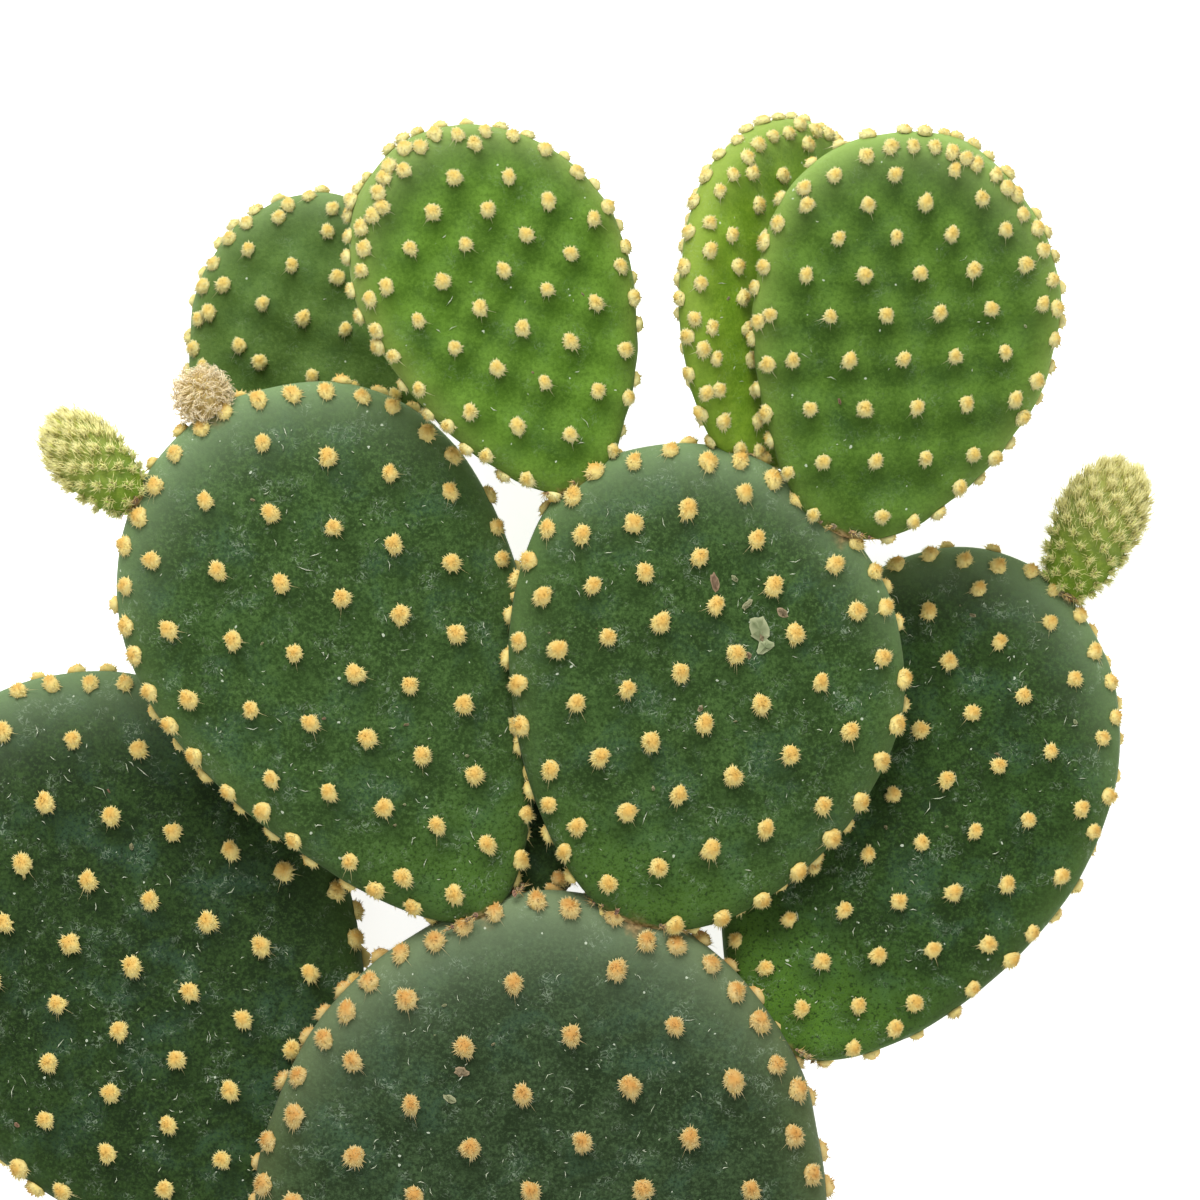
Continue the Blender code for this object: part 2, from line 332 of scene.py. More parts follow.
PADS = [
    Pad("base_pad", 132, 103.5, 15, 0.09, 0.04, 4, 8.1, 0, -1.5, -0.5,
        "base_skin", "aged_glochids", "", 2.3,
        ((0.4, 97.3), (10.0, -9.3), (19.8, 0.3), (0.1, -0.1), (0.0, -0.9), (-0.4, -0.35)), 8.0),
    Pad("left_low_pad", 109, 86.5, 13, 0.13, 0.0, 29, -2.9, 0, 1.5, 1.0,
        "shaded_skin", "grown_glochids", "base_pad", 2.1,
        ((1.0, 53.0), (8.2, 9.0), (7.4, -9.1), (0.46, -0.05), (0.3, 0.55), (-0.46, 0.0)), 7.8),
    Pad("rear_pad", 86, 50, 9, 0.20, 0.0, 32, -10.8, 0, 2.0, 0.5,
        "shaded_skin", "aged_glochids", "base_pad", 1.9,
        ((0.0, 44.0), (8.0, 8.5), (8.0, -8.5)), 7.4),
    Pad("right_pad", 100, 65.5, 12, 0.18, -0.04, -31, -6.8, -3, 1.5, 1.0,
        "right_skin", "grown_glochids", "base_pad", 1.8,
        ((3.8, 45.5), (16.5, 1.9), (9.2, -4.9), (0.63, -0.34), (0.95, -0.27), (0.3, 0.06)), 7.4),
    Pad("mid_left_pad", 103.5, 70, 12, 0.36, 0.02, 28, 5, 3, -2.5, -1.0,
        "middle_skin", "grown_glochids", "base_pad", 1.95,
        ((0.1, 51.6), (11.6, 4.7), (3.9, 12.1), (0.28, -0.31), (0.78, -0.34), (0.23, -0.12)), 7.4),
    Pad("mid_centre_pad", 86, 72.5, 12, 0.21, -0.12, -19, 3.5, 8, 1.5, 1.0,
        "middle_skin", "grown_glochids", "base_pad", 2.0,
        ((-1.1, 39.1), (15.9, -1.0), (8.3, 6.3), (0.65, 0.59), (0.44, 0.81), (0.2, 0.26)), 7.4),
    Pad("rear_left_pad", 61, 43.5, 8, 0.16, -0.01, -8, 0, 0, 2.0, 0.5,
        "rear_young_skin", "young_glochids", "rear_pad", 1.65,
        ((-2.7, 39.0), (7.8, -1.3), (4.6, 8.5), (0.17, 0.33), (0.85, 0.61), (0.6, -0.31)), 5.6, (0.0, 0.35)),
    Pad("top_left_pad", 67, 47, 8, 0.29, -0.03, 21, 0, 12, 3.0, 1.0,
        "bright_skin", "young_glochids", "mid_centre_pad", 1.65,
        ((-6.1, 36.4), (-1.2, -11.2), (6.5, 4.9), (0.38, 0.15), (0.42, 0.34), (-0.12, -0.13)), 5.3,
        (0.07, 0.82)),
    Pad("top_right_rear_pad", 62, 52, 8, 0.15, 0.0, -14, -8, 45, -2.0, 0.5,
        "brightest_skin", "young_glochids", "mid_centre_pad", 1.6,
        ((-23.8, 41.4), (7.7, 2.3), (4.8, 7.1)), 5.4, (0.02, 0.35)),
    Pad("top_right_pad", 71.5, 54, 8, 0.24, -0.09, -18, 8, 8, 3.0, 1.0,
        "young_skin", "young_glochids", "mid_centre_pad", 1.65,
        ((2.9, 44.1), (3.4, 9.4), (8.8, 3.3), (-0.1, -0.37), (-0.07, 0.14), (-0.2, 0.06)), 6.0, (0.95, 0.7)),
    Pad("left_bud", 21, 11, 7.5, 0.10, 0.06, 50, 8, 0, 0, 0,
        "bud_skin", "bud_glochids", "mid_left_pad", section=PLUMP, bud=True),
    Pad("right_bud", 27, 13.5, 8.5, 0.15, 0.05, -22, 12, 0, 0, 0,
        "bud_skin", "bud_glochids", "right_pad", section=PLUMP, bud=True),
    Pad("brown_bud", 10, 10, 9.5, 0, 0, 30, 0, 0, 0, 0,
        "wool_felt", "brown_wool", "mid_left_pad", section=PLUMP, bud=True),
]


def outline(pad, theta):
    """Points of the flat outline at angles of 0 at the neck to pi at the tip, negative on the left."""
    widest = (1 - sqrt(1 + 8 * pad.egg**2)) / (4 * pad.egg) if pad.egg else 0.0
    fullest = sqrt(1 - widest**2) * (1 - pad.egg * widest)
    along = (1 - np.cos(theta)) / 2
    drawn_in = np.sign(np.sin(theta)) * np.abs(np.sin(theta)) ** POINTED
    across = drawn_in * (1 - pad.egg * np.cos(theta)) / fullest
    return np.stack([pad.width / 2 * across + pad.sway * pad.length * along**2, pad.length * along], -1)


def middle(pad):
    """The middle of the faces, on the flat pad."""
    return np.array([pad.sway * pad.length * CORE**2, pad.length * CORE])


def bent(pad, x, y, z):
    """Points of the flat pad once it is curled and cupped."""
    along = y / pad.length
    across = (x - pad.sway * pad.length * along**2) / (pad.width / 2)
    return np.stack([x, y, z + pad.curl * along**2 + pad.cup * across**2], -1)


def on_pad(pad, theta, polar):
    """Skin points at outline angles, and polar from 0 mid front, pi/2 on the rim, to pi mid back."""
    power = 2 / pad.section
    reach = np.abs(np.sin(polar))[..., None] ** power
    flat = middle(pad) + (outline(pad, theta) - middle(pad)) * reach
    height = np.sign(np.cos(polar)) * np.abs(np.cos(polar)) ** power * pad.thick / 2
    return bent(pad, flat[..., 0], flat[..., 1], height)


def turned(degrees, axis):
    """The matrix of a turn about an axis."""
    c, s = cos(radians(degrees)), sin(radians(degrees))
    return {
        "X": np.array([[1, 0, 0], [0, c, -s], [0, s, c]]),
        "Y": np.array([[c, 0, s], [0, 1, 0], [-s, 0, c]]),
        "Z": np.array([[c, -s, 0], [s, c, 0], [0, 0, 1]]),
    }[axis]


def facing(pad):
    """The matrix that turns the pad's own frame into place."""
    return turned(pad.lean, "Z") @ turned(pad.pitch, "X") @ turned(pad.turn, "Y")


def neck_place(pad):
    """Where the pad's neck lies in the shared frame, in mm. Its box is matched on the sides away from the
    neck, which the seat on its parent leaves whole."""
    around, rings = (BUD_ROUND, BUD_RINGS) if pad.bud else (SOLID_ROUND, SOLID_RINGS)
    theta, polar = np.meshgrid(np.linspace(-pi, pi, around + 1), np.linspace(0, pi, rings + 1))
    points = on_pad(pad, theta, polar).reshape(-1, 3) @ facing(pad).T
    low, high = (np.array(corner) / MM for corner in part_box(pad.name))
    far_high = np.abs(points.max(0)) > np.abs(points.min(0))
    return np.where(far_high, high - points.max(0), low - points.min(0))


def to_frame(pad, points):
    """Points of the pad's own frame, in mm, as points of the shared frame, in mm."""
    return points @ facing(pad).T + neck_place(pad)


NUDGE = 0.01  # radians to each side, to find a slope
POLE_CLEAR = 0.06  # radians from the middle of a face, where slopes can't be found


def skin_frame(pad, theta, polar):
    """At each place: the point, the outward normal, and the way down the skin towards the neck."""
    polar = np.clip(polar, POLE_CLEAR, pi - POLE_CLEAR)
    here = on_pad(pad, theta, polar)
    along_rim = on_pad(pad, theta + NUDGE, polar) - on_pad(pad, theta - NUDGE, polar)
    over_rim = on_pad(pad, theta, polar + NUDGE) - on_pad(pad, theta, polar - NUDGE)
    normal = unit(np.cross(over_rim, along_rim))
    down = np.array([0.0, -1.0, 0.0]) - normal * (-normal[..., 1:2])
    return here, normal, unit(down)


def unit(v):
    """Vectors at a length of 1."""
    return v / np.maximum(np.linalg.norm(v, axis=-1, keepdims=True), 1e-9)


def lengths_along(curve):
    """The way along a curve to each of its points."""
    return np.concatenate([[0], np.cumsum(np.linalg.norm(np.diff(curve, axis=0), axis=1))])


def evenly(curve, count):
    """Shares of the way along a curve, from 0 to 1, at which count + 1 points are evenly spaced."""
    lengths = lengths_along(curve)
    return np.interp(np.linspace(0, lengths[-1], count + 1), lengths, np.linspace(0, 1, len(curve)))


# ================================================================ meshes


def mesh_piece(name, points, faces, material, uvs=None, marks=None, smooth=True):
    """A piece from points in mm and lists of faces (arrays of 3 or 4 corners), riding on the plant."""
    mesh = bpy.data.meshes.new(name)
    faces = [f for f in faces if len(f)]
    loops = np.concatenate([f.ravel() for f in faces]).astype(np.int32)
    sizes = np.concatenate([np.full(len(f), f.shape[1]) for f in faces]).astype(np.int32)
    mesh.vertices.add(len(points))
    mesh.vertices.foreach_set("co", (np.asarray(points, float) * MM).astype(np.float32).ravel())
    mesh.loops.add(len(loops))
    mesh.loops.foreach_set("vertex_index", loops)
    mesh.polygons.add(len(sizes))
    mesh.polygons.foreach_set("loop_start", (np.cumsum(sizes) - sizes).astype(np.int32))
    mesh.update(calc_edges=True)
    mesh.polygons.foreach_set("use_smooth", np.full(len(sizes), smooth))
    if uvs is not None:
        layer = mesh.uv_layers.new(name=HAIR_MAP)
        layer.data.foreach_set("uv", np.asarray(uvs, np.float32)[loops].ravel())
    for mark, values in (marks or {}).items():
        mesh.attributes.new(mark, "FLOAT", "POINT").data.foreach_set("value", values.astype(np.float32))
    mesh.materials.append(material)
    piece = bpy.data.objects.new(name, mesh)
    bpy.context.scene.collection.objects.link(piece)
    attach(piece, "root")
    return piece


def globe_faces(around, rings):
    """Faces of a mesh of two poles and rings - 1 rings of around points."""
    c = np.arange(around)
    d = (c + 1) % around
    last = 1 + (rings - 1) * around
    caps = np.concatenate([np.stack([0 * c, 1 + c, 1 + d], -1),
                           np.stack([0 * c + last, last - around + d, last - around + c], -1)])
    r = 1 + around * np.arange(rings - 2)[:, None]
    walls = np.stack([r + c, r + c + around, r + d + around, r + d], -1).reshape(-1, 4)
    return [caps, walls]


def little_globes(points, around, rings):
    """Triangles of many small closed shapes, each with the same rings, from points as shapes by points."""
    caps, walls = globe_faces(around, rings)
    shape = np.concatenate([caps, walls[:, [0, 1, 2]], walls[:, [0, 2, 3]]])
    count, each = points.shape[:2]
    return (each * np.arange(count)[:, None, None] + shape).reshape(-1, 3)


def bristles(roots, tips, width, tone, root_u=0.0, tip_u=1.0):
    """Three-sided cones from roots to tips: (points, faces, uvs). width is half the root's width, and tone
    goes from 0 at the eye of a tuft to 1 in its fringe."""
    count = len(roots)
    way = unit(tips - roots)
    upright = np.abs(way[:, 2:3]) >= 0.8
    aside = unit(np.cross(way, np.where(upright, [[1.0, 0.0, 0.0]], [[0.0, 0.0, 1.0]])))
    other = np.cross(way, aside)
    width = np.broadcast_to(width, (count,))[:, None]
    corners = [roots + width * (cos(a) * aside + sin(a) * other) for a in (0, 2 * pi / 3, 4 * pi / 3)]
    points = np.stack([*corners, tips], 1).reshape(-1, 3)
    shape = np.array([[0, 1, 3], [1, 2, 3], [2, 0, 3], [2, 1, 0]])
    each = len(corners) + 1
    faces = (each * np.arange(count)[:, None, None] + shape).reshape(-1, 3)
    u = np.full((count, each), root_u)
    u[:, -1] = tip_u
    return points, faces, np.stack([u.ravel(), np.repeat(tone, each)], -1)


def joined(parts):
    """Several (points, faces, uvs) as one."""
    points, faces, uvs = zip(*parts)
    starts = np.cumsum([0] + [len(p) for p in points])
    faces = [f + start for f, start in zip(faces, starts)]
    return np.concatenate(points), np.concatenate(faces), np.concatenate(uvs)


# ================================================================ where tufts sit

FACE_REACH = 0.93  # how far towards the outline the rows of a face go
RIM_ROWS = ((74, 0.0), (97, 0.5), (120, 0.0))  # polar angle in degrees, and shift in steps
YOUNG_RIM_ROWS = ((74, 0.0), (92, 0.5), (114, 0.0))
RIM_SPREAD = 0.012  # radians along the rim that a tuft strays
ROW_SPREAD = 3  # degrees over the rim
BARE_NECK = 0.22  # radians of the outline to each side of the neck, with no tufts
ROOM = 0.6  # the least distance between tufts, in rim steps
RIM_ROOM = 0.33  # and between two of a crowded rim
MOST_ROWS = (8, 9)  # tried to each side of a face's first tuft, along its rows and across them
BACK_SWAY = 0.3  # how much of a pad's sway its middle line has where the back's rows start
DENSE = np.linspace(-pi, pi, 1441)  # outline angles, close together
RIM_STEPS = 720


def flat_place(pad, spot):
    """The outline angle of a flat spot seen from the pad's middle, and the share of the way out to there."""
    turn = np.unwrap(np.arctan2(*(outline(pad, DENSE) - middle(pad)).T[::-1]))
    edge = np.linalg.norm(outline(pad, DENSE) - middle(pad), axis=1)
    away = spot - middle(pad)
    angle = np.arctan2(away[1], away[0])
    angle += 2 * pi * np.ceil((turn[0] - angle) / (2 * pi))
    return np.interp(angle, turn, DENSE), np.linalg.norm(away) / np.interp(angle, turn, edge)


def face_places(pad, back):
    """(theta, polar) of the lattice of tufts on the front, or mirrored and shifted on the back."""
    first, step, row, *bends = [np.array(v) for v in pad.rows]
    bends = bends or [np.zeros(2)] * 3
    along, over = MOST_ROWS
    found = []
    for i in range(-along, along + 1):
        for j in range(-over, over + 1):
            spot = first + i * step + j * row + i * i * bends[0] + i * j * bends[1] + j * j * bends[2]
            if back:
                spot = spot * [-1, 1] + [2 * pad.sway * pad.length * BACK_SWAY + step[0] / 2, row[1] / 2]
            theta, reach = flat_place(pad, spot)
            if reach < FACE_REACH:
                polar = np.arcsin(reach ** (pad.section / 2))
                found.append((theta, pi - polar if back else polar))
    return found


def rim_places(pad, rng):
    """(theta, polar) of the rows of tufts round the rim."""
    rim = outline(pad, DENSE)
    count = int(round(lengths_along(rim)[-1] / pad.rim_step))
    place, crowding = pad.crowd
    found = []
    for degrees, shift in YOUNG_RIM_ROWS if pad.thin else RIM_ROWS:
        ways = (np.arange(count) + shift) / count
        ways = ways + crowding / (2 * pi) * np.sin(2 * pi * (ways - place + 0.5))
        shares = np.interp(ways % 1, np.linspace(0, 1, RIM_STEPS + 1), evenly(rim, RIM_STEPS))
        for share in shares:
            theta = -pi + 2 * pi * share + rng.normal(0, RIM_SPREAD)
            if abs(theta) > BARE_NECK:
                found.append((theta, radians(degrees + rng.normal(0, ROW_SPREAD))))
    return found


def tuft_places(pad, rng):
    """(theta, polar) arrays of all tufts, none too near another."""
    wanted = [(p, ROOM) for p in face_places(pad, False)]
    wanted += [(p, RIM_ROOM if pad.thin else ROOM) for p in rim_places(pad, rng)]
    wanted += [(p, ROOM) for p in face_places(pad, True)]
    kept, spots = [], np.zeros((0, 3))
    for (theta, polar), room in wanted:
        spot = on_pad(pad, np.array(theta), np.array(polar))
        if len(spots) == 0 or np.linalg.norm(spots - spot, axis=1).min() > room * pad.rim_step:
            kept.append((theta, polar))
            spots = np.vstack([spots, spot])
    return np.array(kept).T


# ================================================================ skins of the pads

TUBERCLE = (0.6, 3.8)  # mm: the height of the swelling under a tuft, and its spread
YOUNG_TUBERCLE = (1.0, 2.6)
WAVES = 7  # soft waves that keep the faces from being quite even
WAVE_HEIGHT = 0.07  # mm
WAVE_LENGTHS = (16, 34)  # mm, from and to
SKIN_MESH = 1.6  # mm between the points of a skin
YOUNG_SKIN_MESH = 1.2
SECTION_STEPS = 720


def swelling(pad, points, seats, rise):
    """How far the skin stands out at points, in mm: a low tubercle under each tuft, and soft waves. rise is
    each tubercle's share of the full height."""
    height, spread = YOUNG_TUBERCLE if pad.thin else TUBERCLE
    out = np.zeros(len(points))
    for seat, part in zip(seats, rise):
        out += height * part * hump(points - seat, spread)
    rng = np.random.default_rng(len(pad.name))
    for _ in range(WAVES):
        wave = rng.normal(0, 1, 3)
        wave *= 2 * pi / rng.uniform(*WAVE_LENGTHS) / np.linalg.norm(wave)
        out += WAVE_HEIGHT * np.sin(points @ wave + rng.uniform(0, 2 * pi))
    return out


def hump(away, spread):
    """A smooth hump: 1 in its middle, and hardly anything at three times its spread."""
    return np.exp(-(away**2).sum(1) / (2 * spread**2))


def fading(way, end, over):
    """1 at the start of a way, 0 from its end on, fading over the last stretch."""
    return np.clip((end - way) / over, 0, 1)


def pad_grid(pad, fineness):
    """Points and normals of a pad's skin, evenly spaced at about fineness mm, how far over the rim each lies,
    as a polar angle, and the mesh's faces."""
    around = int(lengths_along(outline(pad, DENSE))[-1] / fineness)
    polars = np.linspace(0, pi, SECTION_STEPS + 1)
    half = (pad.width + pad.length) / 4
    power = 2 / pad.section
    curve = np.stack([half * np.abs(np.sin(polars)) ** power,
                      pad.thick / 2 * np.sign(np.cos(polars)) * np.abs(np.cos(polars)) ** power], -1)
    rings = int(lengths_along(curve)[-1] / fineness)
    theta = -pi + 2 * pi * evenly(outline(pad, DENSE), around)[:-1]
    polar = pi * evenly(curve, rings)
    grid = on_pad(pad, *np.meshgrid(theta, polar))
    along_rim = np.roll(grid, -1, 1) - np.roll(grid, 1, 1)
    over_rim = np.gradient(grid, axis=0)
    normal = unit(np.cross(over_rim, along_rim))
    normal[0] = unit(normal[1].mean(0))
    normal[-1] = unit(normal[-2].mean(0))
    keep = np.concatenate([[0], np.arange(around, around * rings), [around * rings]])
    polar = np.repeat(polar, around)[keep]
    return grid.reshape(-1, 3)[keep], normal.reshape(-1, 3)[keep], polar, globe_faces(around, rings)


FRESHNESS = {"right_skin": 1.1, "middle_skin": 0.6}  # how much greener a pad is at its neck
FRESH_UP = 0.22  # how far up a pad that goes, as a share of its length
BLOOM_FROM = 0.68  # how far up a pad its bloom starts
NECK_CORK = (1.4, 0.9)  # mm up from the neck where cork ends, and over how many it fades
CUT_CORK = (CUT_OFF + 0.8, 0.5)
CHILD_CORK = 0.22  # reach of the cork round a neck that the pad carries, as a share of that pad's thickness
CHILD_CORK_FADE = 1.5  # mm
PAINTED_SHADE_BELOW = (2.6, 2.2)  # mm from a tuft down to the middle of the painted shade below it, and its spread
PAINTED_LIGHT_ABOVE = (1.2, 3.2)  # mm from a tuft up to the middle of the painted light round it, and its spread
RIM_RISE = 0.3  # height of a tubercle on the rim, as a share of one in mid face
SHOWS = -0.15  # a tuft that points further down than this faces the table
FLOOR_GAP = 0.05  # mm, the least height of anything over the table


def rest_on_floor(points):
    """Flattens what would sink into the table."""
    points[:, 2] = np.maximum(points[:, 2], FLOOR_GAP)
    return points


def skin_cork(pad, points, placed):
    """How corky the skin is: at its neck or cut, and where it carries another pad."""
    cork = fading(points[:, 1], *(NECK_CORK if pad.parent else CUT_CORK))
    for child in PADS:
        if child.parent == pad.name:
            away = np.linalg.norm(placed - neck_place(child), axis=1)
            cork = np.maximum(cork, fading(away, child.thick * CHILD_CORK, CHILD_CORK_FADE))
    return cork


def make_skin(pad, seats, downs, rise):
    """The skin of a pad, with marks that say where pad_skin paints what."""
    points, outward, polar, faces = pad_grid(pad, YOUNG_SKIN_MESH if pad.thin else SKIN_MESH)
    (shade_down, shade_spread), (light_up, light_spread) = PAINTED_SHADE_BELOW, PAINTED_LIGHT_ABOVE
    # Painted shade below each tuft, and painted light round it, as marks for pad_skin.
    below, crest = np.zeros(len(points)), np.zeros(len(points))
    for seat, down in zip(seats, downs):
        below = np.maximum(below, hump(points - seat - shade_down * down, shade_spread))
        crest = np.maximum(crest, hump(points - seat + light_up * down, light_spread))
    swollen = points + outward * swelling(pad, points, seats, rise)[:, None]
    if not pad.parent:
        swollen[:, 1] = np.maximum(swollen[:, 1], CUT_OFF)
    placed = to_frame(pad, swollen)
    up, edge = points[:, 1] / pad.length, np.abs(np.sin(polar))
    marks = {
        # Painted sheen along the rim, strongest on the upper half, which faces the light.
        "rim": edge**10 * np.clip(up * 2, 0.3, 1),
        "bloom": edge**5 * np.clip((up - BLOOM_FROM) / 0.3, 0, 1),
        "under_tuft": below * (1 - crest * 0.5),
        "crest": crest,
        "cork": skin_cork(pad, points, placed),
        "fresh": np.clip(1.2 - points[:, 1] / (FRESH_UP * pad.length), 0, 1) * FRESHNESS.get(pad.skin, 0),
    }
    skin = mesh_piece(pad.name + "_skin", rest_on_floor(placed), faces, MATERIALS[pad.skin],
                      marks=marks)
    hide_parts(pad.name)


def make_pad(pad, rng):
    """The skin of a pad and its tufts, which sit on the swollen skin."""
    theta, polar = tuft_places(pad, rng)
    seats, normals, downs = skin_frame(pad, theta, polar)
    rise = RIM_RISE + (1 - RIM_RISE) * np.abs(np.cos(polar))
    make_skin(pad, seats, downs, rise)
    seats = to_frame(pad, seats + normals * swelling(pad, seats, seats, rise)[:, None])
    normals, downs = normals @ facing(pad).T, downs @ facing(pad).T
    shows = normals[:, 2] > SHOWS
    points, faces, uvs = joined([
        tufts(seats[side], normals[side], downs[side], pad.tuft, locks, rng)
        for side, locks in ((shows, LOCKS), (~shows, LOCKS_BELOW))
    ])
    mesh_piece(pad.name + "_tufts", rest_on_floor(points), [faces], MATERIALS[pad.hair], uvs=uvs)


# ================================================================ tufts of glochids

# Lengths on a tuft are in its half widths.
LOCKS = 33  # to a tuft that shows
LOCKS_BELOW = 12  # to one that faces the table
HAIRS = 3  # to a lock
HAIR = 0.11  # half the width of a hair at its root
TALLER = 1.1  # a tuft's height over its width, up and down the pad
LUMPS = ((0.07, 2), (0.05, 3), (0.05, 4))  # of a tuft's outline: how high, and how many round it
LONG_BELOW = 0.1  # how much longer the hairs of the lower side are
SPLAY = 0.15  # how far the hairs of a lock part
EYE = (-0.3, 0.95)  # the way from a tuft's seat to its darker eye: down and out
EYE_EDGE = 0.98  # how near to that way the eye is darkest
EYE_FADE = 3.2
STRAYS = 3  # places on a tuft for a long pale hair that points down
STRAY_SHARE = 0.3  # of those places, with a hair
STRAY_REACH = (1.3, 2.1)
CORE_ROUND = 13
CORE_RINGS = ((0.31, 0.69), (0.55, 0.54), (0.74, 0.26), (0.76, -0.12))  # how wide and how high
CORE_TOP = (-0.08, 0.74)  # how far down the pad and how high
CORE_BOTTOM = (0.0, -0.3)


def bulge(swing, phases):
    """How far out a tuft reaches at an angle round it: no two tufts are quite round."""
    return 1 + sum(much * np.sin(lobes * swing + phases[:, i : i + 1])
                   for i, (much, lobes) in enumerate(LUMPS))


def tuft_tone(low, high, rng):
    """0 in the eye of a tuft to 1 in its fringe, for ways given as how far down and how far out."""
    to_eye = EYE[0] * low + EYE[1] * high
    return np.clip((EYE_EDGE - to_eye) * EYE_FADE + rng.normal(0, 0.12, to_eye.shape), 0.02, 0.98)


def local(normals, downs, sides, d, s, n):
    """Vectors from their parts down, aside and out, for arrays of tufts by hairs."""
    return d[..., None] * downs[:, None] + s[..., None] * sides[:, None] + n[..., None] * normals[:, None]


def tufts(seats, normals, downs, half_width, locks, rng):
    """Domes of packed glochids, like blunt little brushes, longest below."""
    count = len(seats)
    sides = np.cross(normals, downs)
    size = half_width * rng.uniform(0.9, 1.1, (count, 1, 1))
    phases = rng.uniform(0, 2 * pi, (count, 3))
    # Locks stand a golden angle apart, from the top of the dome to its foot.
    k = np.arange(locks) + 0.5
    high = np.clip(1 - 0.99 * k / locks + rng.normal(0, 0.03, (count, locks)), 0.0, 1)
    swing = k * pi * (3 - sqrt(5)) + rng.uniform(0, 2 * pi, (count, 1)) + rng.normal(0, 0.1, (count, locks))
    low, side = np.sqrt(1 - high**2) * np.cos(swing), np.sqrt(1 - high**2) * np.sin(swing)
    long = rng.uniform(0.97, 1.03, (count, locks)) * (1 + LONG_BELOW * np.clip(low, -0.3, 1))
    long = long * bulge(swing, phases)
    # Each lock is a few hairs that part a little.
    lock_low, lock_side, lock_high, lock_long = [np.repeat(v, HAIRS, 1) for v in (low, side, high, long)]
    low, side, high = [v + rng.normal(0, SPLAY, v.shape) for v in (lock_low, lock_side, lock_high)]
    long = lock_long * rng.uniform(0.9, 1.05, low.shape) / np.sqrt(low**2 + side**2 + high**2)
    tip = local(normals, downs, sides, low * long * TALLER, side * long, 0.14 + 0.86 * high * long)
    root = local(normals, downs, sides, low * 0.5 * TALLER, side * 0.5, 0.4 * high)
    ends = [(seats[:, None] + end * size).reshape(-1, 3) for end in (root, tip)]
    tone = tuft_tone(lock_low, lock_high, rng).ravel()
    # Hairs are darker towards their roots: partly their own colour, partly painted shade deep in the brush.
    tip_u = np.clip(0.9 - 0.4 * lock_high + rng.normal(0, 0.12, low.shape), 0.1, 1)
    return joined([
        bristles(*ends, HAIR * half_width, tone, tip_u=tip_u.ravel()),
        cores(seats, normals, downs, sides, size[:, 0], phases, rng),
        strays(seats, normals, downs, sides, half_width, rng),
    ])


def cores(seats, normals, downs, sides, size, phases, rng):
    """The dense heart of each tuft: a lumpy dome that the hairs stand out of."""
    turn = 2 * pi * np.arange(CORE_ROUND) / CORE_ROUND
    reach = bulge(turn, phases)
    rings, tones = [], [np.full((len(seats), 1), 0.05)]
    for wide, high in CORE_RINGS:
        out = size * wide * reach * rng.uniform(0.88, 1.1, reach.shape)
        rings.append(local(normals, downs, sides, out * np.cos(turn) * TALLER, out * np.sin(turn),
                           size * high * rng.uniform(0.78, 1.18, reach.shape)))
        tones.append(tuft_tone(wide * np.cos(turn) + 0 * reach, sqrt(1 - wide**2), rng))
    top, bottom = [local(normals, downs, sides, size * down, size * 0.0, size * high)
                   for down, high in (CORE_TOP, CORE_BOTTOM)]
    tones.append(np.full((len(seats), 1), 0.9))
    points = seats[:, None] + np.concatenate([top, *rings, bottom], 1)
    # The core takes tones near the hairs' roots: partly their own colour, partly painted shade deep in the
    # tuft.
    u = rng.uniform(0.0, 0.45, points.shape[:2])
    uvs = np.stack([u, np.concatenate(tones, 1)], -1)
    return points.reshape(-1, 3), little_globes(points, CORE_ROUND, len(CORE_RINGS) + 1), uvs.reshape(-1, 2)


def strays(seats, normals, downs, sides, half_width, rng):
    """Long pale hairs that some tufts carry, and that point down."""
    carries = rng.random((len(seats), STRAYS)) < STRAY_SHARE
    owner = np.repeat(np.arange(len(seats)), STRAYS)[carries.ravel()]
    spread = rng.uniform(-1.0, 1.0, len(owner))[:, None]
    way = unit(downs[owner] * np.cos(spread) + sides[owner] * np.sin(spread) + normals[owner] * 0.12)
    reach = half_width * rng.uniform(*STRAY_REACH, (len(owner), 1))
    foot = seats[owner] + normals[owner] * 0.3
    return bristles(foot, foot + way * reach, 0.12, rng.uniform(0.85, 0.98, len(owner)), root_u=0.6)


# ================================================================ litter, scabs and joints


def in_frame(pad, theta, polar, lift):
    """Places on a pad's skin in the shared frame: points, normals, and ways down. lift is in mm."""
    spot, normal, down = skin_frame(pad, theta, polar)
    turn = facing(pad)
    return to_frame(pad, spot + normal * lift), normal @ turn.T, down @ turn.T


LITTER_REACH = 0.85  # how far towards the outline litter lies


def face_spots(pad, count, rng, lift):
    """Random places on the front."""
    share = LITTER_REACH * np.sqrt(rng.uniform(0.0, 1.0, count))
    return in_frame(pad, rng.uniform(-pi, pi, count), np.arcsin(share ** (pad.section / 2)), lift)


def any_way(normal, down, rng):
    """Random directions in the plane of the skin."""
    angle = rng.uniform(-pi, pi, (len(normal), 1))
    return down * np.cos(angle) + np.cross(normal, down) * np.sin(angle)


SHED_ROOM = (60, 150)  # square mm of a grown and of a young pad for each shed glochid
SHED_REACH = (0.2, 0.4, 1.8)  # mm: the least, the usual part over it, and the most of that


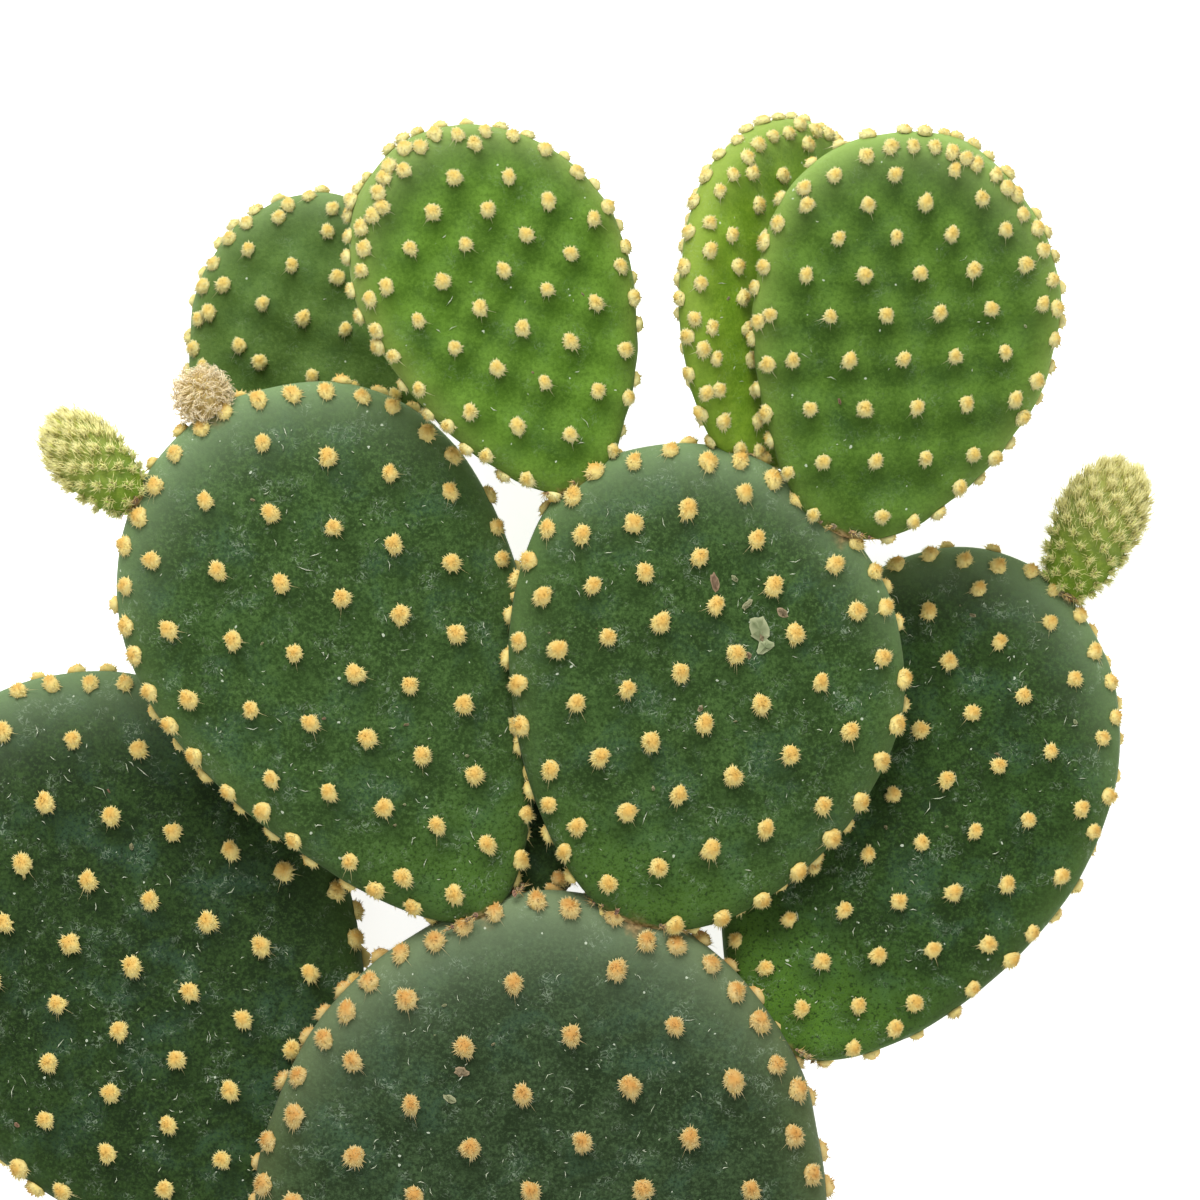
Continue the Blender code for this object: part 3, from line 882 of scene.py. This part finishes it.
def make_fallen_glochids(rng):
    """Shed glochids that lie on the fronts as pale ticks, some of them bent."""
    least, usual, most = SHED_REACH
    parts = []
    for pad in PADS:
        if pad.bud or pad.name == "rear_pad":
            continue
        count = int(pad.width * pad.length / SHED_ROOM[pad.thin])
        spot, normal, down = face_spots(pad, count, rng, lift=0.6)
        way = any_way(normal, down, rng)
        reach = least + rng.exponential(usual, (count, 1)).clip(0, most)
        width = rng.uniform(0.07, 0.13, count)
        tone = rng.uniform(0.1, 0.95, count)
        parts.append(bristles(spot, spot + way * reach, width, tone, root_u=0.5))
        bend = unit(way + np.cross(normal, way) * rng.normal(0, 0.6, (count, 1)))
        parts.append(bristles(spot, spot - bend * reach * 0.8, width, tone, root_u=0.5))
    points, faces, uvs = joined(parts)
    mesh_piece("fallen_glochids", rest_on_floor(points), [faces], MATERIALS["shed_glochids"],
               uvs=uvs)


FLAKE_ROUND = 13


def flakes(centres, normals, ways, length, width, height, tone, rng):
    """Ragged papery chips, crumpled in the middle and pale along the edge: (points, faces, uvs)."""
    many = (len(centres), FLAKE_ROUND)
    sides = np.cross(normals, ways)
    turn = 2 * pi * np.arange(FLAKE_ROUND) / FLAKE_ROUND + rng.normal(0, 0.15, many)
    ragged = rng.uniform(0.75, 1.1, many)
    long, wide = length[:, None] * np.cos(turn) * ragged, width[:, None] * np.sin(turn) * ragged
    edge = local(normals, ways, sides, long, wide, np.full(many, -0.1))
    inner = edge * 0.6 + normals[:, None] * height[:, None, None] * rng.uniform(-0.3, 1.3, (*many, 1))
    top = normals[:, None] * height[:, None, None]
    bottom = normals[:, None] * np.full((len(centres), 1, 1), -0.15)
    points = centres[:, None] + np.concatenate([top, inner, edge, bottom], 1)
    half = (len(centres), FLAKE_ROUND + 1)
    u = np.concatenate([rng.uniform(0, 0.5, half), rng.uniform(0.6, 1, half)], 1)
    uvs = np.stack([u.ravel(), np.repeat(tone, points.shape[1])], -1)
    return points.reshape(-1, 3), little_globes(points, FLAKE_ROUND, 3), uvs


# Flakes and scars in set places: pad, place on its flat face, half length and half width in mm, turn in
# degrees, and tone from scab brown at 0 to papery green at 1.
SCARS = (
    ("mid_centre_pad", (-7.7, 63.6), 1.9, 0.75, 30, 0.15),
    ("mid_centre_pad", (-4.6, 65.4), 0.8, 0.5, 60, 0.75),
    ("mid_centre_pad", (-0.9, 61.7), 1.3, 0.6, -20, 0.65),
    ("mid_centre_pad", (5.6, 62.4), 1.3, 0.8, 70, 0.3),
    ("mid_centre_pad", (2.6, 58.2), 2.7, 2.1, 30, 0.85),
    ("mid_centre_pad", (4.6, 55.6), 1.8, 1.3, -40, 0.9),
    ("mid_centre_pad", (3.4, 57.2), 1.3, 0.6, 20, 0.35),
    ("base_pad", (-10.3, 102.0), 1.4, 0.9, 80, 0.3),
    ("base_pad", (-12.8, 97.3), 1.3, 0.7, 60, 0.75),
)
SCAR_HEIGHT = 0.3  # mm
LOOSE_FLAKES = (8, 2)  # on a grown and on a young pad
UNHURT = ("rear_pad", "rear_left_pad")  # pads that others cover


def make_flakes(rng):
    """Brown scabs and dried leaf scales: those in set places, and small ones scattered on the fronts."""
    parts = []
    for pad in PADS:
        if pad.bud or pad.name in UNHURT:
            continue
        count = LOOSE_FLAKES[pad.thin]
        spot, normal, down = face_spots(pad, count, rng, lift=0.5)
        size = rng.uniform(0.3, 0.75, count)
        way = any_way(normal, down, rng)
        width = size * rng.uniform(0.35, 0.8, count)
        parts.append(flakes(spot, normal, way, size, width, size * 0.5, rng.uniform(0, 1, count), rng))
        for name, place, length, width, turn, tone in SCARS:
            if name == pad.name:
                theta, reach = flat_place(pad, np.array(place))
                polar = np.arcsin([reach ** (pad.section / 2)])
                spot, normal, down = in_frame(pad, np.array([theta]), polar, lift=0.6)
                way = down * cos(radians(turn)) + np.cross(normal, down) * sin(radians(turn))
                sizes = [np.array([v]) for v in (length, width, SCAR_HEIGHT, tone)]
                parts.append(flakes(spot, normal, way, *sizes, rng))
    points, faces, uvs = joined(parts)
    mesh_piece("scabs_and_scales", points, [faces], MATERIALS["dry_scale"], uvs=uvs, smooth=False)


JOINT_SCALES = (18, 14)  # round the neck of a pad, and of a bud
JOINT_UP = 1.7  # mm from a neck up to its ring of scales
JOINT_WIDTH = 0.7  # half the width of the ring, in thicknesses of the pad
JOINT_DEPTH = 0.33  # and half its depth
BUD_JOINT = 3.0  # mm, half the width round a bud
JOINT_HAIRS = 5  # beside each scale


def make_joints(rng):
    """Where a pad grew from another: brown scales round the neck, and aged hairs that stand out of it."""
    hairs, scales = [], []
    for pad in PADS:
        if not pad.parent or pad.name == "brown_bud":
            continue
        neck, turn = neck_place(pad), facing(pad)
        wide = BUD_JOINT if pad.bud else pad.thick * JOINT_WIDTH
        count = JOINT_SCALES[pad.bud]
        swing = rng.uniform(0, 2 * pi, count)
        deep = np.sin(swing) * pad.thick * JOINT_DEPTH
        around = np.stack([np.cos(swing) * wide, np.full(count, JOINT_UP), deep], -1)
        spot = neck + around @ turn.T
        out = unit((around * [1, 0, 1.6]) @ turn.T)
        size = rng.uniform(0.4, 0.9, count)
        way = unit(np.cross(out, rng.normal(0, 1, (count, 3))))
        scales.append(flakes(spot, out, way, size, size * 0.6, size * 0.6, rng.uniform(0, 0.6, count), rng))
        spot, out = np.repeat(spot, JOINT_HAIRS, 0), np.repeat(out, JOINT_HAIRS, 0)
        way = unit(out + rng.normal(0, 0.55, spot.shape))
        reach = rng.uniform(0.8, 2.4, (len(spot), 1))
        tone = rng.uniform(0.2, 0.95, len(spot))
        hairs.append(bristles(spot - 0.3 * way, spot + way * reach, 0.12, tone, root_u=0.2))
    points, faces, uvs = joined(hairs)
    mesh_piece("joint_hairs", rest_on_floor(points), [faces], MATERIALS["aged_glochids"], uvs=uvs)
    points, faces, uvs = joined(scales)
    mesh_piece("joint_scales", rest_on_floor(points), [faces], MATERIALS["dry_scale"], uvs=uvs,
               smooth=False)


# ================================================================ buds

BUD_MESH = 0.45  # mm between the points of a bud's body
WOOL_BUD_MESH = 0.5
BUD_TUBERCLE = (0.55, 0.9)  # mm: height and spread
BUD_SEAT = 0.45  # mm that a star of hairs stands over the skin
BUD_CORK = (1.6, 0.8)  # mm, as NECK_CORK
FELT_DEPTH = 0.7  # mm of wool over the felt
LEAF_ROUND = 6
LEAF_RINGS = ((0.75, 0.22), (0.35, 0.38), (-0.1, 0.36))  # how far along in lengths, and half width in mm
STAR_HAIRS = 60
WOOL_LOCKS = 400
WOOL_HAIRS = 3  # to a lock
CURL_PARTS = 4  # straight lengths to a curled hair


def spiral_places(pad, count):
    """(theta, polar) of places on a bud along a golden spiral from its neck to its tip."""
    theta, polar = np.meshgrid(np.linspace(-pi, pi, 181), np.linspace(0.05, pi - 0.05, 121))
    skin = on_pad(pad, theta, polar)
    along = skin[..., 1] / pad.length
    across = skin[..., 0] - pad.sway * pad.length * along**2
    swing = np.arctan2(skin[..., 2] / pad.thick, across / pad.width)
    # Each step takes the skin nearest to it, in height and in angle. They close up a little towards the tip.
    found = []
    for k in range(count):
        off = np.abs((swing - k * pi * (3 - sqrt(5)) + pi) % (2 * pi) - pi)
        best = np.argmin((along - (0.05 + 0.94 * (k / count) ** 0.9)) ** 2 * 9 + (off / pi) ** 2)
        found.append((theta.flat[best], polar.flat[best]))
    return np.array(found).T


def make_bud(pad, stars, rng):
    """A new pad: a green body, crowded with stars of pale hairs, each beside a little pointed leaf."""
    seats, normals, downs = skin_frame(pad, *spiral_places(pad, stars))
    points, outward, _, faces = pad_grid(pad, BUD_MESH)
    height, spread = BUD_TUBERCLE
    for seat in seats:
        points = points + outward * height * hump(points - seat, spread)[:, None]
    along = np.clip(points[:, 1] / pad.length, 0, 1)
    marks = {"rim": along**2, "cork": fading(points[:, 1], *BUD_CORK)}
    body = mesh_piece(pad.name + "_body", rest_on_floor(to_frame(pad, points)), faces, MATERIALS[pad.skin],
                      marks=marks)
    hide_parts(pad.name)
    seats = to_frame(pad, seats + normals * BUD_SEAT)
    normals, downs = normals @ facing(pad).T, downs @ facing(pad).T
    share = np.linspace(0, 1, stars)[:, None]
    points, faces, uvs = bud_leaves(seats, normals, downs, share, rng)
    mesh_piece(pad.name + "_leaves", rest_on_floor(points), [faces], MATERIALS["bud_leaf"],
               uvs=uvs)
    points, faces, uvs = bud_stars(seats, normals, -downs, share, rng)
    mesh_piece(pad.name + "_hairs", rest_on_floor(points), [faces], MATERIALS["bud_glochids"],
               uvs=uvs)


def bud_leaves(seats, normals, downs, share, rng):
    """Leaves: soft cones, three rings and a point, that bow towards the tip of the bud."""
    count = len(seats)
    forward = -downs
    seat = seats + downs * 0.6 - normals * 0.2
    way = unit(normals * 0.7 + forward * 0.6)
    size = rng.uniform(1.3, 2.0, (count, 1))
    aside = unit(np.cross(way, normals + 0.01))
    other = np.cross(way, aside)
    swing = 2 * pi * np.arange(LEAF_ROUND) / LEAF_ROUND
    circle = aside[:, None] * np.cos(swing)[:, None] + other[:, None] * np.sin(swing)[:, None]
    rings = []
    for rise, wide in LEAF_RINGS:
        axis = seat + way * size * rise + forward * size * 0.25 * rise**2
        rings.append(axis[:, None] + wide * circle)
    top = (seat + way * size * 1.1 + forward * size * 0.3)[:, None]
    foot = (seat - way * size * 0.15)[:, None]
    points = np.concatenate([top, *rings, foot], 1)
    u = np.tile(np.concatenate([[1.0], np.repeat([0.7, 0.35, 0.0], LEAF_ROUND), [0.0]]), count)
    v = np.repeat(np.clip(share[:, 0] * 1.1 + rng.normal(0, 0.08, count), 0.02, 0.98), points.shape[1])
    faces = little_globes(points, LEAF_ROUND, len(LEAF_RINGS) + 1)
    return points.reshape(-1, 3), faces, np.stack([u, v], -1)


def bud_stars(seats, normals, forward, share, rng):
    """Hairs: a star at each seat, which leans towards the tip of the bud, and a brush that closes over it."""
    lean = np.repeat(unit(normals * 0.75 + forward * (0.1 + 0.8 * share)), STAR_HAIRS, 0)
    root = np.repeat(seats, STAR_HAIRS, 0) + rng.normal(0, 0.34, lean.shape)
    way = unit(lean + rng.normal(0, 0.5, lean.shape) * np.repeat(1.1 - 0.5 * share, STAR_HAIRS, 0))
    reach = rng.uniform(1.0, 2.1, (len(root), 1)) * np.repeat(1 + 0.6 * share**2, STAR_HAIRS, 0)
    tone = np.clip(np.repeat(share[:, 0], STAR_HAIRS) + rng.normal(0, 0.15, len(root)), 0.02, 0.98)
    stars = bristles(root, root + way * reach, 0.1, tone, root_u=0.2)
    tip = share[:, 0] > 0.5
    lean = np.repeat(unit(normals * 0.8 + forward * 1.0)[tip], STAR_HAIRS, 0)
    root = np.repeat(seats[tip], STAR_HAIRS, 0) + rng.normal(0, 0.7, lean.shape)
    way = unit(lean + rng.normal(0, 0.2, lean.shape))
    reach = rng.uniform(1.6, 2.8, (len(root), 1)) * np.repeat(0.5 + 0.6 * share[tip], STAR_HAIRS, 0)
    brush = bristles(root, root + way * reach, 0.09, rng.uniform(0.5, 0.98, len(root)), root_u=0.1)
    return joined([stars, brush])


def make_wool_bud(pad, rng):
    """A dormant bud felted over with curled tan wool, paler at its outside."""
    points, outward, _, faces = pad_grid(pad, WOOL_BUD_MESH)
    body = mesh_piece(pad.name + "_felt", to_frame(pad, points - outward * FELT_DEPTH), faces,
                      MATERIALS[pad.skin])
    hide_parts(pad.name)
    seats, normals, _ = in_frame(pad, *spiral_places(pad, WOOL_LOCKS), lift=-0.8)
    root = np.repeat(seats, WOOL_HAIRS, 0) + rng.normal(0, 0.15, (len(seats) * WOOL_HAIRS, 3))
    out = np.repeat(normals, WOOL_HAIRS, 0)
    bow = np.repeat(rng.normal(0, 1, seats.shape), WOOL_HAIRS, 0) + rng.normal(0, 0.2, root.shape)
    bow = unit(np.cross(out, bow))
    long = np.repeat(rng.uniform(1.1, 1.8, (len(seats), 1)), WOOL_HAIRS, 0)
    tone = rng.uniform(0.0, 1.0, len(root))
    # Each hair is a curled run of straight lengths, which overlap and get finer.
    parts = []
    for k in range(CURL_PARTS):
        ends = [root + long * (out * sin(1.5 * t) + bow * (1 - cos(1.9 * t)) * 0.75)
                for t in (k / CURL_PARTS, (k + 1.35) / CURL_PARTS)]
        parts.append(bristles(*ends, 0.13 - 0.02 * k, tone, root_u=k / CURL_PARTS))
    points, faces, uvs = joined(parts)
    mesh_piece(pad.name + "_wool", points, [faces], MATERIALS[pad.hair], uvs=uvs)


# ================================================================ making it all

MATERIALS = {}


TABLE_GLOW = 0.82  # strength of the light that comes up through the table
FLOOR_HALF = 3.0  # metres


def make_materials():
    """Each skin: its deep, middle and pale green, its rim tone (painted sheen on a pad, its own paler tip on
    a bud), its nap, and the painted light round tufts. Each hair: the tones of a tuft's eye at a hair's root
    and tip, and of its fringe at the same."""
    for name, *tones in (
        ("base_skin", "#1A2912", "#283820", "#3C5131", "#606E46", 1.0, 0.2),
        ("shaded_skin", "#122209", "#1F3312", "#314820", "#4B6630", 1.0, 0.2),
        ("right_skin", "#152707", "#233B12", "#365122", "#577238", 1.0, 0.2),
        ("middle_skin", "#1E320F", "#2D461C", "#435E2E", "#5E7944", 1.0, 0.2),
        ("rear_young_skin", "#304816", "#456025", "#607C3C", "#6C8348", 0.4, 0.4),
        ("young_skin", "#223C07", "#3C5A12", "#5E8030", "#8EA850", 0.4, 0.6),
        ("bright_skin", "#264202", "#40620C", "#648830", "#86984A", 0.4, 0.6),
        ("brightest_skin", "#446608", "#628618", "#82A032", "#8A9C44", 0.4, 0.5),
        ("bud_skin", "#526E16", "#668424", "#86983A", "#C6C074", 0.5, 0.0),
        ("wool_felt", "#A08A52", "#B8A262", "#CCB87C", "#BCA870", 1.0, 0.0),
    ):
        MATERIALS[name] = pad_skin(name, *tones)
    for name, *tones in (
        ("aged_glochids", "#AC7834", "#C89E50", "#C0A862", "#D2C494"),
        ("grown_glochids", "#BC9040", "#D6B45A", "#D4C06E", "#DCD29A"),
        ("young_glochids", "#C0A04A", "#D4BC64", "#CEC47A", "#D4D0A6"),
        ("bud_glochids", "#B8B862", "#ECE8A2", "#DCD480", "#F2EAAC"),
        ("brown_wool", "#CEB67A", "#F8E6B8", "#E8D09C", "#FCF2D8"),
        ("shed_glochids", "#8FA083", "#BCC4A4", "#A9B497", "#D8DCC6"),
        ("dry_scale", "#54382A", "#9C7A62", "#5A6A42", "#A0AA82"),
        ("bud_leaf", "#5E8220", "#8AA83C", "#A3AE48", "#D3D078"),
    ):
        MATERIALS[name] = glochid_hair(name, *tones)
    # Opal acrylic, cast and lit from below: an even white, on which only the deepest shade shows.
    table, tree, shader = new_material("opal_acrylic_table", roughness=0.5, ior=1.49)
    shader.inputs["Emission Color"].default_value = srgb("#FFFFFF")
    shader.inputs["Emission Strength"].default_value = TABLE_GLOW
    where = add(tree, "ShaderNodeTexCoord").outputs["Object"]
    cloud = add(tree, "ShaderNodeTexNoise", {"Vector": where, "Scale": every(60)}).outputs["Fac"]
    tone = add(tree, "ShaderNodeMix", {0: cloud, 6: srgb("#F2F2F0"), 7: srgb("#F6F6F5")}, data_type="RGBA")
    tree.links.new(tone.outputs[2], shader.inputs["Base Color"])
    MATERIALS["table"] = table


def make_floor():
    corners = [(x * FLOOR_HALF, y * FLOOR_HALF, 0) for x, y in ((-1, -1), (1, -1), (1, 1), (-1, 1))]
    mesh = bpy.data.meshes.new("floor")
    mesh.from_pydata(corners, [], [(0, 1, 2, 3)])
    mesh.materials.append(MATERIALS["table"])
    floor = bpy.data.objects.new("floor", mesh)
    bpy.context.scene.collection.objects.link(floor)


def chance(job):
    """Random numbers for one job, the same on every run and whatever the other jobs draw."""
    return np.random.default_rng(RNG_SEED + job)


make_camera()
make_light()
make_materials()
make_floor()
for job, pad in enumerate(PADS):
    if not pad.bud:
        make_pad(pad, chance(job))
left_bud, right_bud, brown_bud = [pad for pad in PADS if pad.bud]
make_bud(left_bud, stars=80, rng=chance(31))
make_bud(right_bud, stars=112, rng=chance(32))
make_wool_bud(brown_bud, chance(33))
make_fallen_glochids(chance(34))
make_flakes(chance(35))
make_joints(chance(36))
